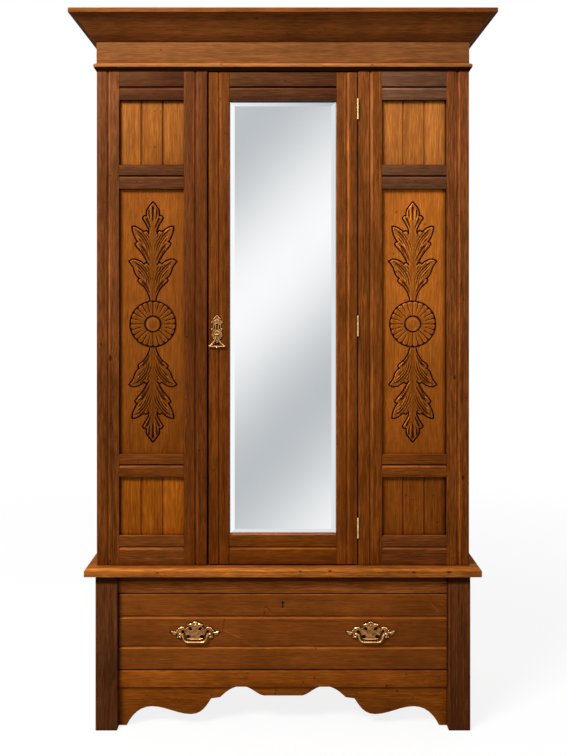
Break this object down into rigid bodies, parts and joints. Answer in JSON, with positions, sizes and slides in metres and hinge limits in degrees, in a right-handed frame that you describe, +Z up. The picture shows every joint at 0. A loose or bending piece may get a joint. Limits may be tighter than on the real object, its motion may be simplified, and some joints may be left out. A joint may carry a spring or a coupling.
{
  "type": "mirrored armoire",
  "caption": "Framed wooden wardrobe with a bevelled mirror door between carved fixed fronts, a flared cornice above and a wide drawer in a legged base below.",
  "frame": {"origin": "on the floor, below the middle of the bounding box", "axes": "+Z up, the front faces -Y, +X to the right of someone facing the door"},
  "size_m": [1.216, 0.518, 2.072],
  "materials": {
    "frame_wood": "dark red-brown stain, waxed",
    "panel_wood": "honey-brown stain, waxed",
    "light_wood": "light brown stain, waxed",
    "base_wood": "mid brown stain, waxed",
    "side_wood": "mid brown stain, waxed",
    "bare_wood": "unfinished",
    "brass": "aged, polished high spots",
    "mirror": "bevelled"
  },
  "bodies": {
    "cabinet": {"left_outer_stile": "frame_wood", "left_inner_stile": "frame_wood", "left_bottom_rail": "frame_wood", "left_lower_rail": "frame_wood", "left_upper_rail": "frame_wood", "left_top_rail": "frame_wood", "left_lower_panel": "panel_wood", "left_carved_panel": "panel_wood", "left_upper_panel": "panel_wood", "right_outer_stile": "frame_wood", "right_inner_stile": "frame_wood", "right_bottom_rail": "frame_wood", "right_lower_rail": "frame_wood", "right_upper_rail": "frame_wood", "right_top_rail": "frame_wood", "right_lower_panel": "panel_wood", "right_carved_panel": "panel_wood", "right_upper_panel": "panel_wood", "left_side_panel": "side_wood", "right_side_panel": "side_wood", "back_panel": "bare_wood", "hanging_rail": "bare_wood", "frieze_board": "light_wood", "neck_moulding": "light_wood", "cornice": "light_wood", "top_board": "bare_wood", "base_top": "light_wood", "left_front_leg": "frame_wood", "right_front_leg": "frame_wood", "left_base_side": "side_wood", "right_base_side": "side_wood", "base_back": "bare_wood", "drawer_top_rail": "base_wood", "drawer_bottom_rail": "base_wood", "apron": "base_wood", "top_hinge_frame_leaf": "brass", "middle_hinge_frame_leaf": "brass", "bottom_hinge_frame_leaf": "brass"},
    "door": {"door_left_stile": "frame_wood", "door_right_stile": "frame_wood", "door_top_rail": "frame_wood", "door_bottom_rail": "frame_wood", "mirror_plate": "mirror", "mirror_backboard": "bare_wood", "top_hinge_door_leaf": "brass", "middle_hinge_door_leaf": "brass", "bottom_hinge_door_leaf": "brass", "door_lock_case": "brass", "escutcheon_plate": "brass"},
    "lock_bolt": {"door_lock_bolt": "brass"},
    "pull": {"drop_pull": "brass"},
    "drawer": {"drawer_front": "base_wood", "drawer_left_side": "bare_wood", "drawer_right_side": "bare_wood", "drawer_back": "bare_wood", "drawer_bottom": "bare_wood", "left_handle_plate": "brass", "right_handle_plate": "brass"},
    "left_bail": {"left_bail": "brass"},
    "right_bail": {"right_bail": "brass"}
  },
  "joints": [
    {"name": "door_swing", "type": "hinge", "parent": "cabinet", "child": "door", "pos_m": [0.21735, -0.1943, 0.4781], "axis": [0, 0, 1], "range_deg": [0, 165]},
    {"name": "lock_bolt_slide", "type": "slide", "parent": "door", "child": "lock_bolt", "axis": [-1, 0, 0], "range_m": [0, 0.01]},
    {"name": "drop_pull_swing", "type": "hinge", "parent": "door", "child": "pull", "pos_m": [-0.191, -0.1983, 1.144], "axis": [-1, 0, 0], "range_deg": [0, 80]},
    {"name": "drawer_slide", "type": "slide", "parent": "cabinet", "child": "drawer", "axis": [0, -1, 0], "range_m": [0, 0.33]},
    {"name": "left_bail_swing", "type": "hinge", "parent": "drawer", "child": "left_bail", "pos_m": [-0.255, -0.1933, 0.2735], "axis": [-1, 0, 0], "range_deg": [0, 95]},
    {"name": "right_bail_swing", "type": "hinge", "parent": "drawer", "child": "right_bail", "pos_m": [0.255, -0.1933, 0.2735], "axis": [-1, 0, 0], "range_deg": [0, 95]}
  ]
}
